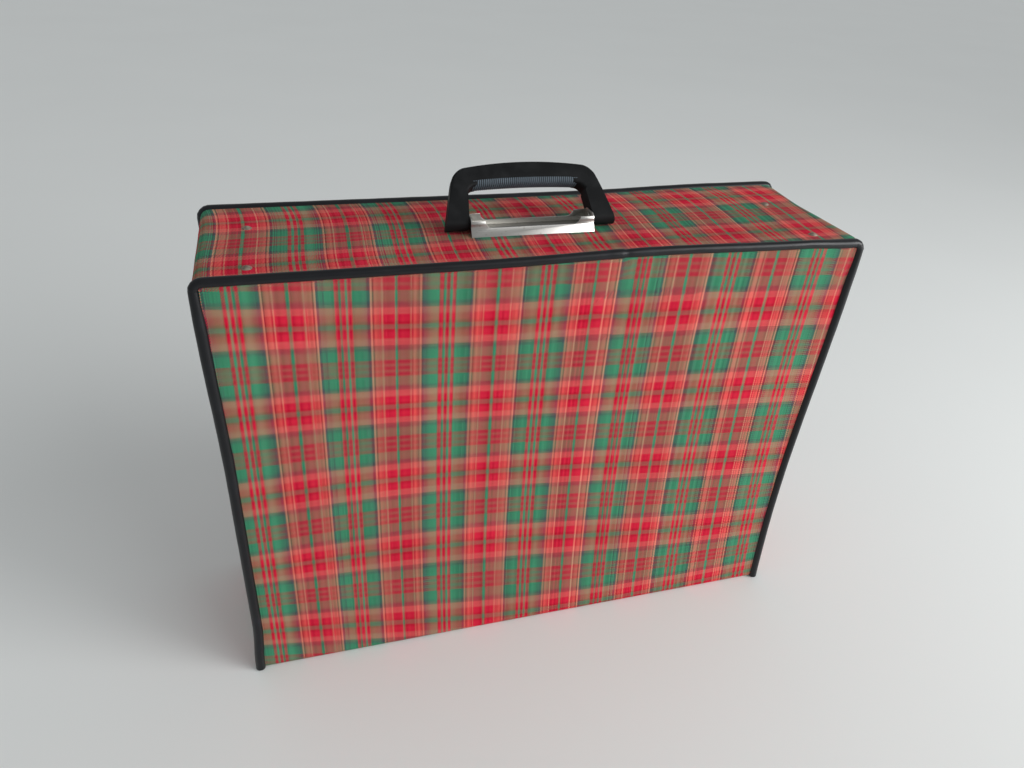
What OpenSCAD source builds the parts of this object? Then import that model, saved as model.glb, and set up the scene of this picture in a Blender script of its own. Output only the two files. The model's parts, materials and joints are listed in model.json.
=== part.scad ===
// Cloth-covered travelling case on board, standing on its bottom.
// Millimetres, +Z up, front towards -Y. The origin is on the floor under the middle of the case.
// One cloth covers the front and runs under the bottom, a second one covers the ends and the top.
// The rear panel is the lid: it turns on the cloth fold along its bottom edge.

/* [Case] */
// Width from end cloth to end cloth
case_width = 550; // [450:5:650]
// Height from the floor to the top cloth
case_height = 410; // [330:5:480]
// Depth from the front cloth to the plane of the rear rim
case_depth = 150; // [140:5:220]
// Outer radius of the two upper corners
corner_radius = 8; // [6.5:0.5:24]
// Outer radius of the fold where the front cloth turns under
fold_radius = 4; // [3:0.5:7]

/* [Sheets] */
// Thickness of the stiffening boards
board_thickness = 3; // [2:0.25:4]
// Thickness of the cover cloth
cloth_thickness = 0.8; // [0.5:0.1:1.2]
// Thickness of the lining cloth
lining_thickness = 0.5; // [0.3:0.1:0.8]
// Gap left between neighbouring pieces at a seam
seam_gap = 0.1; // [0.05:0.05:0.2]
// Width of each leg of the tape glued into the two lower corners
corner_tape_leg = 25; // [15:1:40]
// Thickness of that tape
corner_tape_thickness = 0.5; // [0.3:0.1:0.8]

/* [Piping] */
// Diameter of the bead along the sewn edges
piping_diameter = 7.6; // [6:0.2:10]
// Depth of the bead's centre inside the two cloth faces it joins
piping_inset = 1.5; // [0.5:0.1:2.5]
// Width of the tongue sewn under the end and top cloth
tongue_width = 9; // [6:0.5:12]
// Thickness of that tongue
tongue_thickness = 0.8; // [0.5:0.1:1.2]

/* [Rivets] */
// Diameter of the domed rivet head
rivet_head_diameter = 8; // [6:0.5:10]
// Height of the domed rivet head
rivet_head_height = 1.8; // [1:0.1:2.5]
// Diameter of the rivet shank
rivet_shank_diameter = 3.5; // [2.5:0.25:4.5]
// Diameter of the spread tail inside the case
rivet_tail_diameter = 6; // [5:0.25:8]
// Height of that tail
rivet_tail_height = 1; // [0.6:0.1:1.5]
// Play between the shank and its holes, on the diameter
rivet_play = 0.1; // [0.05:0.05:0.3]

/* [Corner brackets] */
// Distance of the rivets from the corner, along the top and down the ends
rivet_from_corner = 38; // [28:1:44]
// Distance of the front rivets behind the front face
rivet_from_front = 17; // [17:1:30]
// Distance between the front and the rear rivets
rivet_spacing = 79; // [50:1:85]
// Length of each leg of the bracket
bracket_leg = 50; // [48:1:70]
// Width of bracket beyond the rivet centres
bracket_margin = 10; // [6:1:11]
// Sheet thickness of the bracket
bracket_thickness = 1.2; // [0.8:0.1:1.6]

/* [Handle] */
// Width of the handle across its feet
handle_width = 148; // [120:1:200]
// Height of the grip's highest point above the pivot
handle_height = 50; // [44:1:60]
// Thickness of the grip from top to underside
grip_thickness = 19; // [14:0.5:22]
// Width of each foot
foot_width = 18.5; // [16:0.5:22]
// Depth of the handle from front to back
handle_depth = 14; // [12:0.5:15.5]
// Inward lean of the outer sides of the legs
outer_lean = 14; // [6:1:16]
// Inward lean of the inner sides of the legs
inner_lean = 4; // [3:1:10]
// Radius of the crown along the top of the grip
crown_radius = 330; // [200:10:500]
// Radius of the flatter curve along the underside of the grip
under_radius = 700; // [400:20:1500]
// Radius of the outer shoulders
outer_shoulder = 15; // [8:0.5:16]
// Radius of the inner shoulders
inner_shoulder = 9; // [4:0.5:10]
// Radius of the rounded long edges on top of the grip
grip_round = 5; // [2:0.5:5.5]
// Height of the pivot above the top cloth
pivot_height = 8.1; // [8:0.1:10]
// Backward lean of the handle as it stands
handle_lean = 45; // [0:1:60]
// Distance of the pivot behind the middle of the case
handle_setback = -10; // [-20:1:20]
// Distance of the handle's middle to the right of the middle of the case
handle_offset = -9; // [-20:1:20]
// Diameter of the pivot pins
pin_diameter = 4; // [3:0.25:5]
// Depth of the pins inside the legs
pin_depth = 9; // [6:0.5:11]
// Diameter of the pin heads inside the plate
pin_head_diameter = 7; // [6:0.25:9]
// Thickness of the pin heads
pin_head_thickness = 1.2; // [0.8:0.1:2]
// Radial play of the pins in the plate
pin_play = 0.1; // [0.05:0.01:0.15]
// Radial gap of the pins in the legs
pin_fit = 0.05; // [0.02:0.01:0.1]

/* [Handle plate] */
// Width of the plate from front to back
plate_width = 28; // [24:1:36]
// Sheet thickness of the plate
plate_sheet = 1; // [0.7:0.1:1.5]
// Height of the sloping side walls
plate_wall_height = 6; // [4:0.5:7]
// Distance the side walls slope in from foot to top
plate_wall_slope = 4; // [2:0.5:4.5]
// Height of the walls at the two ends
ear_height = 14; // [12.5:0.5:15]
// Length of the upright cheeks beside the ends
ear_length = 12; // [8:1:16]
// Radius of the hollow where the cheeks step down
ear_hollow = 6; // [4:0.5:7]
// Radius of the upper corners of the end walls
ear_round = 5; // [3:0.5:5.5]
// Gap between the plate and the legs as they swing
leg_gap = 0.5; // [0.4:0.1:1]
// Distance of the two fixing rivets from the ends of the plate
plate_rivet_inset = 13; // [10:0.5:18]
// Width of the backing strip inside the case
backing_width = 24; // [16:1:30]
// Length of the backing strip beyond the rivet centres
backing_margin = 12; // [8:1:20]
// Thickness of the backing strip
backing_thickness = 1.2; // [0.8:0.1:1.6]

/* [Zip] */
// Thickness of the zip tape
tape_thickness = 0.6; // [0.4:0.1:0.8]
// Width of tape that shows between the bead and the coil
tape_margin = 3; // [2:0.5:6]
// Width of each half of the coil
coil_width = 3; // [2:0.25:4]
// Height of the coil above the tape
coil_height = 2.4; // [1.6:0.1:2.6]
// Gap between the two halves of the open coil
coil_gap = 2; // [1.8:0.1:3]
// Width of tape under the coil past its inner edge
tape_lip = 0.2; // [0.1:0.1:0.4]
// Gap between the coil and the edge of the lid
lid_margin = 2.5; // [2:0.5:6]
// Radius of the zip at the two upper corners
zip_corner_radius = 20; // [16:1:40]
// Height of the lower end of the zip above the floor
zip_start = 28; // [28:1:60]
// Length of each bottom stop along the zip
stop_length = 3; // [2:0.5:5]

/* [Zip sliders] */
// Length of the slider
slider_length = 10; // [8:0.5:14]
// Thickness of the slider's two plates and its flanges
slider_sheet = 1; // [0.8:0.1:1.2]
// Width of the web between the plates
slider_web = 1.2; // [1:0.1:1.2]
// Play between the slider and the zip
slider_play = 0.3; // [0.25:0.05:0.35]
// Width of the eye block that carries the pull
eye_width = 3; // [2.5:0.25:4]
// Length of the eye block
eye_length = 5; // [4:0.5:6]
// Height of the eye block
eye_height = 3; // [2.8:0.1:3.2]
// Diameter of the pull's cross pin
pull_pin_diameter = 1.2; // [1:0.1:1.4]
// Play around the cross pin, on the radius
pull_play = 0.2; // [0.15:0.05:0.3]
// Length of the pull from its pin to its end
pull_length = 24; // [18:1:28]
// Width of the pull
pull_width = 7; // [7:0.25:8]
// Thickness of the pull
pull_thickness = 1.4; // [1:0.1:1.6]
// Width of the fork arms at the pull's upper end
pull_arm = 1; // [0.8:0.1:1.2]
// Room between the eye block and the crotch of the fork
pull_room = 1; // [0.8:0.1:2]

/* [Lid] */
// Width of tape glued under the edge of the lid
lid_tape_hold = 11; // [6:1:16]
// Gap between the slider at rest and the lid's half of the zip
lid_zip_gap = 2; // [1.5:0.5:10]
// Gap at the cloth fold that the lid turns on
hinge_gap = 0.4; // [0.3:0.1:0.8]

/* [Hidden] */
$fn = 96;

// Small overlap that lets cutters pass the faces they cut
cut = 1;

// Steps along the shoulders and the crown of the handle
shoulder_steps = 10;
crown_steps = 24;

half_width = case_width / 2;
half_depth = case_depth / 2;
bead_radius = piping_diameter / 2;

// Depths of the layers inside the cloth face
under_cloth = cloth_thickness;
under_board = under_cloth + board_thickness;
under_lining = under_board + lining_thickness;
under_bracket = under_lining + bracket_thickness;
under_backing = under_lining + backing_thickness;
tongue_inset = under_cloth + seam_gap;
rebate_inset = tongue_inset + tongue_thickness + seam_gap;

// The flat panels end beside the bead
bead_edge = piping_inset + bead_radius;
panel_inset = bead_edge + seam_gap;
band_edge = half_depth - panel_inset;
full_edge = half_depth - bead_edge - tongue_width - seam_gap;

// The zip lies on the rear edges of the boards
tape_inner = band_edge - tape_thickness;
tape_outer = band_edge;
coil_outer = tape_outer + coil_height;
zip_inset = bead_edge + tape_margin + coil_width + coil_gap / 2;
lid_inset = zip_inset + coil_gap / 2 + coil_width + lid_margin;
lid_corner_radius = zip_corner_radius + zip_inset - lid_inset;

// The lid's layers stand on the zip tape, and its fold lies in the middle of the cloth
lid_face = tape_outer + under_board;
hinge_y = lid_face - cloth_thickness / 2;
lid_base = cloth_thickness + hinge_gap;
floor_rear = tape_inner - hinge_gap;
floor_front = -half_depth + max(fold_radius, under_board) + seam_gap;

// Rivet places across the depth
rivet_front_y = -half_depth + rivet_from_front;
rivet_rear_y = rivet_front_y + rivet_spacing;
rivet_hole = rivet_shank_diameter + rivet_play;

// The handle's foot turns just above the cloth
foot_radius = handle_depth / 2;
pivot_z = case_height + pivot_height;
inner_foot = handle_width / 2 - foot_width;
plate_sweep = norm([plate_width / 2, pivot_height]);
plate_half = inner_foot - (plate_sweep + foot_radius) * tan(inner_lean) - leg_gap;
plate_rivet_offset = plate_half - plate_rivet_inset;
leg_face = inner_foot - foot_radius * tan(inner_lean);
pin_end = leg_face + pin_depth;

// Zip slider place at rest, on the lower stop
slider_width = 2 * (coil_gap / 2 + coil_width + slider_play + slider_sheet);
slider_z = zip_start + slider_play + slider_length / 2;
slider_inner = tape_inner - slider_play;
slider_outer = coil_outer + slider_play;
eye_base = slider_outer + slider_sheet;
pull_y = eye_base + eye_height / 2;
pull_x = half_width - zip_inset;
lid_zip_start = slider_z + slider_length / 2 + lid_zip_gap;

// Upright outline with two rounded upper corners, seen from the front
module outline(half, top, radius, base) {
    translate([-half, base]) square([2 * half, top - radius - base]);
    translate([radius - half, base]) square([2 * (half - radius), top - base]);
    for (side = [-1, 1])
        translate([side * (half - radius), top - radius]) circle(radius);
}

// The case's own outline, drawn in from the cloth face
module case_outline(inset, base = 0) {
    outline(half_width - inset, case_height - inset, corner_radius - inset, base);
}

// A strip of the case's outline between two depths
module case_ring(outer, inner, base = 0) {
    difference() {
        case_outline(outer, base);
        case_outline(inner, base - cut);
    }
}

// Outline that runs beside the middle line of the zip
module zip_outline(shift, base = 0) {
    inset = zip_inset - shift;
    outline(half_width - inset, case_height - inset, zip_corner_radius + shift, base);
}

// A level sheet that fills the floor between the ends, with its front corners cut clear of the piping
module floor_sheet(side_inset, front, low, high) {
    narrow = half_width - panel_inset;
    wide = half_width - side_inset - seam_gap;
    box([-narrow, front, low], [narrow, floor_rear, high]);
    box([-wide, -band_edge, low], [wide, floor_rear, high]);
}

// Draws an upright outline through the depth from one y to another
module along_y(from, to) {
    translate([0, to, 0]) rotate([90, 0, 0]) linear_extrude(to - from) children();
}

// Draws an end view across the width from one x to another
module along_x(from, to) {
    translate([from, 0, 0]) rotate([90, 0, 90]) linear_extrude(to - from) children();
}

// Box given by its two opposite corners
module box(low, high) {
    translate(low) cube(high - low);
}

// Domed rivet with its head on z = 0, through a stack of the given thickness
module rivet(stack) {
    dome = (pow(rivet_head_diameter / 2, 2) + pow(rivet_head_height, 2)) / (2 * rivet_head_height);
    intersection() {
        translate([0, 0, rivet_head_height - dome]) sphere(dome);
        cylinder(d = rivet_head_diameter, h = rivet_head_height + cut);
    }
    translate([0, 0, -stack]) cylinder(d = rivet_shank_diameter, h = stack);
    translate([0, 0, -stack - rivet_tail_height])
        cylinder(d = rivet_tail_diameter, h = rivet_tail_height);
}

// Places something on the top at the four bracket rivets
module at_top_rivets() {
    for (side = [-1, 1], y = [rivet_front_y, rivet_rear_y])
        translate([side * (half_width - rivet_from_corner), y, case_height]) children();
}

// Places something on the ends at the four bracket rivets, with its z axis outwards
module at_end_rivets() {
    for (side = [-1, 1], y = [rivet_front_y, rivet_rear_y])
        translate([side * half_width, y, case_height - rivet_from_corner])
            rotate([0, side * 90, 0]) children();
}

// Places something on the top at the two rivets of the handle plate
module at_plate_rivets() {
    for (side = [-1, 1])
        translate([handle_offset + side * plate_rivet_offset, handle_setback, case_height]) children();
}

// Hole through every layer, drilled from the cloth inwards
module rivet_drill() {
    deep = under_bracket + under_backing;
    translate([0, 0, -deep]) cylinder(d = rivet_hole, h = 2 * deep);
}

// All rivet holes of the case
module rivet_holes() {
    at_top_rivets() rivet_drill();
    at_end_rivets() rivet_drill();
    at_plate_rivets() rivet_drill();
}

// Boards of the ends and the top, thinned along both edges where the tongue lies
module band_boards() {
    difference() {
        union() {
            along_y(-band_edge, -full_edge) case_ring(rebate_inset, under_board, under_cloth);
            along_y(-full_edge, full_edge) case_ring(under_cloth, under_board, under_cloth);
            along_y(full_edge, tape_inner) case_ring(rebate_inset, under_board, under_cloth);
        }
        rivet_holes();
    }
}

// One end board, from the bottom cloth up to the bend of the top board
module end_board(side) {
    color("burlywood")
        intersection() {
            band_boards();
            box([min(0, side * case_width), -case_depth, 0],
                [max(0, side * case_width), case_depth, case_height - corner_radius]);
        }
}

// Section of the piping: a round bead and the flat tongue that runs inwards from it
module piping_section() {
    circle(bead_radius);
    translate([piping_inset - tongue_inset - tongue_thickness, 0])
        square([tongue_thickness, bead_radius + tongue_width]);
}

// Piping up one end, over the top and down the other end, at the rear edge
module piping() {
    reach = half_width - piping_inset;
    top = case_height - piping_inset;
    bend = corner_radius - piping_inset;
    translate([0, half_depth - piping_inset, 0]) rotate([90, 0, 0]) {
        translate([0, top, 0]) along_x(bend - reach, reach - bend) piping_section();
        for (side = [0, 1]) mirror([side, 0, 0]) {
            translate([reach - bend, top - bend, 0])
                rotate_extrude(angle = 90) translate([bend, 0]) piping_section();
            translate([reach, top - bend, 0])
                rotate([90, 0, 0]) linear_extrude(top - bend - under_cloth - seam_gap) piping_section();
        }
    }
}

// Tape in one lower corner, on the bottom lining and up the end lining
module corner_tape(side) {
    out = half_width - under_lining;
    color("tan") along_y(-band_edge, floor_rear) mirror([side < 0 ? 1 : 0, 0])
        translate([out - corner_tape_leg, under_lining]) difference() {
            square(corner_tape_leg);
            translate([-cut, corner_tape_thickness])
                square([corner_tape_leg - corner_tape_thickness + cut, corner_tape_leg]);
        }
}

// Sheet bracket bent around the inside of one upper corner
module corner_bracket(side) {
    out = half_width - under_lining;
    up = case_height - under_lining;
    color("lightsteelblue") difference() {
        along_y(rivet_front_y - bracket_margin, rivet_rear_y + bracket_margin) intersection() {
            case_ring(under_lining, under_bracket);
            mirror([side < 0 ? 1 : 0, 0]) translate([out - bracket_leg, up - bracket_leg])
                square(bracket_leg + cut);
        }
        rivet_holes();
    }
}

// Points along an arc
function arc(middle, radius, from, to, steps) = [
    for (i = [0 : steps])
        middle + radius * [cos(from + (to - from) * i / steps), sin(from + (to - from) * i / steps)]
];

// Outline of the handle: sloping sides, round shoulders and a crowned top, pivot at the origin
module handle_outline(foot, lean, shoulder, crown, top) {
    low = -foot_radius;
    slope = tan(lean);
    middle = top - crown;
    p = foot - shoulder / cos(lean) + low * slope;
    a = 1 + slope * slope;
    b = p * slope + middle;
    c = p * p + middle * middle - pow(crown - shoulder, 2);
    up = (b + sqrt(b * b - a * c)) / a;
    out = p - slope * up;
    turn = atan2(up - middle, out);
    right = arc([out, up], shoulder, lean, turn, shoulder_steps);
    over = arc([0, middle], crown, turn, 180 - turn, crown_steps);
    left = [for (i = [shoulder_steps : -1 : 0]) [-right[i].x, right[i].y]];
    polygon(concat([[-foot, low], [foot, low]], right, [for (i = [1 : crown_steps - 1]) over[i]], left));
}

// Side view of the handle: round foot below the pivot, rounded edges on top
module handle_side() {
    circle(foot_radius);
    translate([-foot_radius, 0]) square([handle_depth, handle_height - grip_round]);
    translate([grip_round - foot_radius, 0]) square([handle_depth - 2 * grip_round, handle_height + cut]);
    for (s = [-1, 1])
        translate([s * (foot_radius - grip_round), handle_height - grip_round]) circle(grip_round);
}

// Moves a handle piece from its own pivot to its place on the case
module at_pivot() {
    translate([handle_offset, handle_setback, pivot_z]) rotate([-handle_lean, 0, 0]) children();
}

// Side view of the handle plate, high at both ends and low between
module plate_side() {
    low = plate_half - ear_length;
    difference() {
        translate([-plate_half, 0]) square([2 * plate_half, ear_height]);
        translate([ear_hollow - low, plate_wall_height]) square([2 * (low - ear_hollow), ear_height]);
        translate([-low, plate_wall_height + ear_hollow]) square([2 * low, ear_height]);
        for (s = [-1, 1])
            translate([s * (low - ear_hollow), plate_wall_height + ear_hollow]) circle(ear_hollow);
    }
}

// End view of the handle plate: sloping walls below, upright cheeks with round corners above
module plate_end() {
    half = plate_width / 2;
    neck = half - plate_wall_slope;
    round_z = ear_height - ear_round;
    polygon([[-half, 0], [half, 0], [neck, plate_wall_height], [-neck, plate_wall_height]]);
    translate([-neck, 0]) square([2 * neck, round_z]);
    translate([ear_round - neck, 0]) square([2 * (neck - ear_round), ear_height]);
    for (s = [-1, 1]) translate([s * (neck - ear_round), round_z]) circle(ear_round);
}

// Room inside the plate, one sheet thickness in from the end view
module plate_room() {
    half = plate_width / 2;
    pitch = plate_wall_slope / plate_wall_height;
    level = plate_sheet * norm([1, pitch]);
    foot = half - pitch * plate_sheet - level;
    neck = half - plate_wall_slope - plate_sheet;
    bend = (half - level - neck) / pitch;
    polygon([[-foot, plate_sheet], [foot, plate_sheet], [neck, bend], [neck, ear_height + cut],
        [-neck, ear_height + cut], [-neck, bend]]);
}

// Slider of one zip: two plates, the web between them, two flanges and the eye
module zip_slider(side) {
    half = slider_width / 2;
    flange = tape_outer + slider_play;
    low = slider_z - slider_length / 2;
    high = slider_z + slider_length / 2;
    color("silver") translate([side * pull_x, 0, 0]) difference() {
        union() {
            box([-half, slider_inner - slider_sheet, low], [half, slider_inner, high]);
            box([-half, slider_outer, low], [half, eye_base, high]);
            box([-slider_web / 2, slider_inner, low], [slider_web / 2, slider_outer, high]);
            for (s = [-1, 1])
                translate([s * (half - slider_sheet / 2) - slider_sheet / 2, flange, low])
                    cube([slider_sheet, slider_outer - flange, slider_length]);
            box([-eye_width / 2, eye_base, slider_z - eye_length / 2],
                [eye_width / 2, eye_base + eye_height, slider_z + eye_length / 2]);
        }
        translate([-half, pull_y, slider_z]) rotate([0, 90, 0])
            cylinder(r = pull_pin_diameter / 2 + pull_play, h = slider_width);
    }
}

// Pull of one zip, hanging from its cross pin
module pull_tab(side) {
    half = pull_width / 2;
    fork = eye_length / 2 + pull_room;
    color("silver") translate([side * pull_x, pull_y, slider_z]) {
        translate([-half, 0, 0]) rotate([0, 90, 0]) cylinder(d = pull_pin_diameter, h = pull_width);
        for (s = [-1, 1])
            translate([s * (half - pull_arm / 2) - pull_arm / 2, 0, 0]) {
                rotate([0, 90, 0]) cylinder(d = pull_thickness, h = pull_arm);
                translate([0, -pull_thickness / 2, -fork]) cube([pull_arm, pull_thickness, fork]);
            }
        along_y(-pull_thickness / 2, pull_thickness / 2) {
            translate([-half, half - pull_length]) square([pull_width, pull_length - half - fork]);
            translate([0, half - pull_length]) circle(half);
        }
    }
}

// Board under the floor of the case, between the two end boards
module bottom_board() {
    color("burlywood") floor_sheet(under_board, floor_front, under_cloth, under_board);
}

// Cloth under the case, with the quarter fold along its front edge
module bottom_cover() {
    reach = half_width - panel_inset;
    rear = hinge_y - cloth_thickness / 2 - hinge_gap;
    color("firebrick") {
        box([-reach, fold_radius - half_depth, 0], [reach, rear, cloth_thickness]);
        box([-half_width, -band_edge, 0], [half_width, band_edge, cloth_thickness]);
        translate([0, fold_radius - half_depth, fold_radius]) along_x(-reach, reach) intersection() {
            difference() {
                circle(fold_radius);
                circle(fold_radius - cloth_thickness);
            }
            translate([-fold_radius, -fold_radius]) square(fold_radius);
        }
    }
}

// Lining on the bottom board
module bottom_lining() {
    front = -half_depth + under_lining + seam_gap;
    color("wheat") floor_sheet(under_lining, front, under_board, under_lining);
}

// Board behind the front cloth
module front_board() {
    color("burlywood") along_y(-half_depth + under_cloth, -half_depth + under_board)
        case_outline(panel_inset, fold_radius);
}

// Front cloth
module front_cover() {
    color("firebrick") along_y(-half_depth, -half_depth + under_cloth)
        case_outline(panel_inset, fold_radius);
}

// Lining on the back of the front board
module front_lining() {
    color("wheat") along_y(-half_depth + under_board, -half_depth + under_lining)
        case_outline(panel_inset, max(fold_radius, under_board));
}

// Top board with its two bent corners
module top_board() {
    base = case_height - corner_radius;
    color("burlywood") intersection() {
        band_boards();
        box([-half_width, -half_depth, base], [half_width, half_depth, case_height]);
    }
}

// Left end board
module end_board_left() {
    end_board(-1);
}

// Right end board
module end_board_right() {
    end_board(1);
}

// Cloth over the ends and the top
module band_cover() {
    color("firebrick") difference() {
        along_y(-band_edge, band_edge) case_ring(0, under_cloth, under_cloth);
        rivet_holes();
    }
}

// Lining of the ends and the top
module band_lining() {
    color("wheat") difference() {
        along_y(-band_edge, tape_inner) case_ring(under_board, under_lining, under_lining);
        rivet_holes();
    }
}

// Piping along the front edges
module front_piping() {
    color("#17191d") mirror([0, 1, 0]) piping();
}

// Piping along the rear edges
module rear_piping() {
    color("#17191d") piping();
}

// Tape in the lower left corner
module corner_tape_left() {
    corner_tape(-1);
}

// Tape in the lower right corner
module corner_tape_right() {
    corner_tape(1);
}

// Bracket in the upper left corner
module corner_bracket_left() {
    corner_bracket(-1);
}

// Bracket in the upper right corner
module corner_bracket_right() {
    corner_bracket(1);
}

// Rivets that hold the corner brackets
module corner_rivets() {
    color("slategray") {
        at_top_rivets() rivet(under_bracket);
        at_end_rivets() rivet(under_bracket);
    }
}

// Pressed plate between the feet of the handle, a tray with high ends
module handle_plate() {
    half = plate_width / 2;
    color("silver") difference() {
        translate([handle_offset, handle_setback, case_height]) {
            intersection() {
                along_x(-plate_half, plate_half) difference() {
                    plate_end();
                    plate_room();
                }
                along_y(-half, half) plate_side();
            }
            along_x(-plate_half, plate_sheet - plate_half) plate_end();
            along_x(plate_half - plate_sheet, plate_half) plate_end();
        }
        translate([handle_offset - plate_half - cut, handle_setback, pivot_z]) rotate([0, 90, 0])
            cylinder(r = pin_diameter / 2 + pin_play, h = 2 * (plate_half + cut));
        at_plate_rivets() rivet_drill();
    }
}

// Strip inside the case that the plate's rivets are spread on
module handle_backing() {
    half = plate_rivet_offset + backing_margin;
    color("lightsteelblue") difference() {
        translate([handle_offset - half, handle_setback - backing_width / 2, case_height - under_backing])
            cube([2 * half, backing_width, backing_thickness]);
        at_plate_rivets() rivet_drill();
    }
}

// Rivets that hold the handle plate
module handle_rivets() {
    color("silver") at_plate_rivets() translate([0, 0, plate_sheet]) rivet(plate_sheet + under_backing);
}

// Moulded handle, leaning back on its pivot
module handle_grip() {
    color("#1d1e20") at_pivot() difference() {
        intersection() {
            along_y(-foot_radius, foot_radius) difference() {
                handle_outline(handle_width / 2, outer_lean, outer_shoulder, crown_radius, handle_height);
                handle_outline(inner_foot, inner_lean, inner_shoulder, under_radius,
                    handle_height - grip_thickness);
            }
            along_x(-handle_width, handle_width) handle_side();
        }
        for (s = [0, 1]) mirror([s, 0, 0]) rotate([0, 90, 0])
            cylinder(r = pin_diameter / 2 + pin_fit, h = pin_end);
    }
}

// Pins fixed in the legs, with heads inside the plate
module handle_pins() {
    head = plate_half - plate_sheet - leg_gap;
    color("silver") at_pivot() for (s = [0, 1]) mirror([s, 0, 0]) rotate([0, 90, 0]) {
        translate([0, 0, head - pin_head_thickness])
            cylinder(d = pin_head_diameter, h = pin_head_thickness);
        translate([0, 0, head]) cylinder(d = pin_diameter, h = pin_end - head);
    }
}

// Zip tape sewn to the case, with a wider tail below the zip on both sides
module zip_tape_case() {
    base = under_cloth + seam_gap;
    tail = half_width - lid_inset + hinge_gap;
    color("#26282c") along_y(tape_inner, tape_outer) difference() {
        case_outline(rebate_inset, base);
        zip_outline(coil_gap / 2 - tape_lip, zip_start);
        translate([-tail, base - cut]) square([2 * tail, zip_start - base + 2 * cut]);
    }
}

// Half of the coil that is sewn to the case
module zip_coil_case() {
    color("#3a3d42") along_y(tape_outer, coil_outer) difference() {
        zip_outline(coil_gap / 2 + coil_width, zip_start);
        zip_outline(coil_gap / 2, zip_start - cut);
    }
}

// Stops at the lower ends of the zip
module zip_stops() {
    color("silver") for (side = [-1, 1])
        translate([side * pull_x - slider_width / 2, tape_outer, zip_start - stop_length])
            cube([slider_width, coil_height, stop_length]);
}

// Board of the rear lid
module lid_board() {
    color("burlywood") along_y(tape_outer, tape_outer + board_thickness) lid_outline(0, lid_base);
}

// Outline of the lid, drawn in from its edge
module lid_outline(inset, base) {
    edge = lid_inset + inset;
    radius = max(lid_corner_radius - inset, lining_thickness);
    outline(half_width - edge, case_height - edge, radius, base);
}

// Cloth of the rear lid
module lid_cover() {
    color("firebrick") along_y(tape_outer + board_thickness, lid_face) lid_outline(0, lid_base);
}

// Lining of the rear lid
module lid_lining() {
    color("wheat") along_y(tape_outer - lining_thickness, tape_outer)
        lid_outline(lid_tape_hold + seam_gap, lid_base + lid_tape_hold);
}

// Zip tape glued under the edge of the lid
module zip_tape_lid() {
    color("#26282c") along_y(tape_inner, tape_outer) difference() {
        zip_outline(tape_lip - coil_gap / 2, lid_zip_start);
        lid_outline(lid_tape_hold, lid_zip_start - cut);
    }
}

// Half of the coil that is sewn to the lid
module zip_coil_lid() {
    color("#3a3d42") along_y(tape_outer, coil_outer) difference() {
        zip_outline(-coil_gap / 2, lid_zip_start);
        zip_outline(-coil_gap / 2 - coil_width, lid_zip_start - cut);
    }
}

// Left zip slider
module zip_slider_left() {
    zip_slider(-1);
}

// Right zip slider
module zip_slider_right() {
    zip_slider(1);
}

// Pull of the left slider
module pull_tab_left() {
    pull_tab(-1);
}

// Pull of the right slider
module pull_tab_right() {
    pull_tab(1);
}

bottom_board();
bottom_cover();
bottom_lining();
front_board();
front_cover();
front_lining();
top_board();
end_board_left();
end_board_right();
band_cover();
band_lining();
front_piping();
rear_piping();
corner_tape_left();
corner_tape_right();
corner_bracket_left();
corner_bracket_right();
corner_rivets();
handle_plate();
handle_backing();
handle_rivets();
handle_grip();
handle_pins();
zip_tape_case();
zip_coil_case();
zip_stops();
lid_board();
lid_cover();
lid_lining();
zip_tape_lid();
zip_coil_lid();
zip_slider_left();
zip_slider_right();
pull_tab_left();
pull_tab_right();
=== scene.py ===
import json
import math

import bmesh
import bpy
from mathutils import Euler, Matrix, Vector


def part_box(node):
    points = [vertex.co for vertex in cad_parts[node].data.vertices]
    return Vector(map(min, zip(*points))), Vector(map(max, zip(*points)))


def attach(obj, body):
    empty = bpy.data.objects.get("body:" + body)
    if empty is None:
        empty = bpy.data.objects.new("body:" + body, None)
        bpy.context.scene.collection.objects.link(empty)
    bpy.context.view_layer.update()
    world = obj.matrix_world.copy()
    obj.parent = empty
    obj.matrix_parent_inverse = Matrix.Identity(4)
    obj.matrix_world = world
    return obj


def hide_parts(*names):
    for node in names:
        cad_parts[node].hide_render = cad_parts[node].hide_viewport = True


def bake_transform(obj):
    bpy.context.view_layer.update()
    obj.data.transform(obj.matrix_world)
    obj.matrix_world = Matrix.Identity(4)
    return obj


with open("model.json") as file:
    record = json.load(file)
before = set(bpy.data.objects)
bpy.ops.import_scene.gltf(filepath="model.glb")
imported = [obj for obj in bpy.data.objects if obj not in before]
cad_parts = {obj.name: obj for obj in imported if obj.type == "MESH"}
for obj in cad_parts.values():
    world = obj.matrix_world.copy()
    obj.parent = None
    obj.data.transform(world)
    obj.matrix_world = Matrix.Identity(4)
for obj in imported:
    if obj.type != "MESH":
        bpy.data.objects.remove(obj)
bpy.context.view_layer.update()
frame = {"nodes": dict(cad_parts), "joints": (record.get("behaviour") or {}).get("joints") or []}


# Front and bottom cloth
# One length of tartan cotton, glued over the front board, turned under its lower edge without a seam
# and carried on beneath the bottom board. It was laid on askew and has crept into soft waves.
mm = 0.001
front_low, front_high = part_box("front_cover")
band_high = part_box("band_cover")[1]
front_half, front_top, front_face, front_fold = front_high.x, front_high.z, front_low.y, front_low.z
case_half, case_top, band_half = band_high.x, band_high.z, band_high.y
case_corner = case_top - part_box("top_board")[0].z
front_corner = case_corner - (case_half - front_half)
bottom_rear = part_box("bottom_cover")[1].y
cloth_thickness = front_high.y - front_low.y
sewn_in = 2 * mm
standpoint = Vector((-208.2, -601.9, 646)) * mm  # where the photograph was taken from


def seen(red, green, blue):
    """A colour as a screen shows it, from 0 to 255, turned into the light it stands for."""
    shares = [c / 255 for c in (red, green, blue)]
    return tuple(s / 12.92 if s < 0.0404 else ((s + 0.055) / 1.055) ** 2.4 for s in shares)


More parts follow.
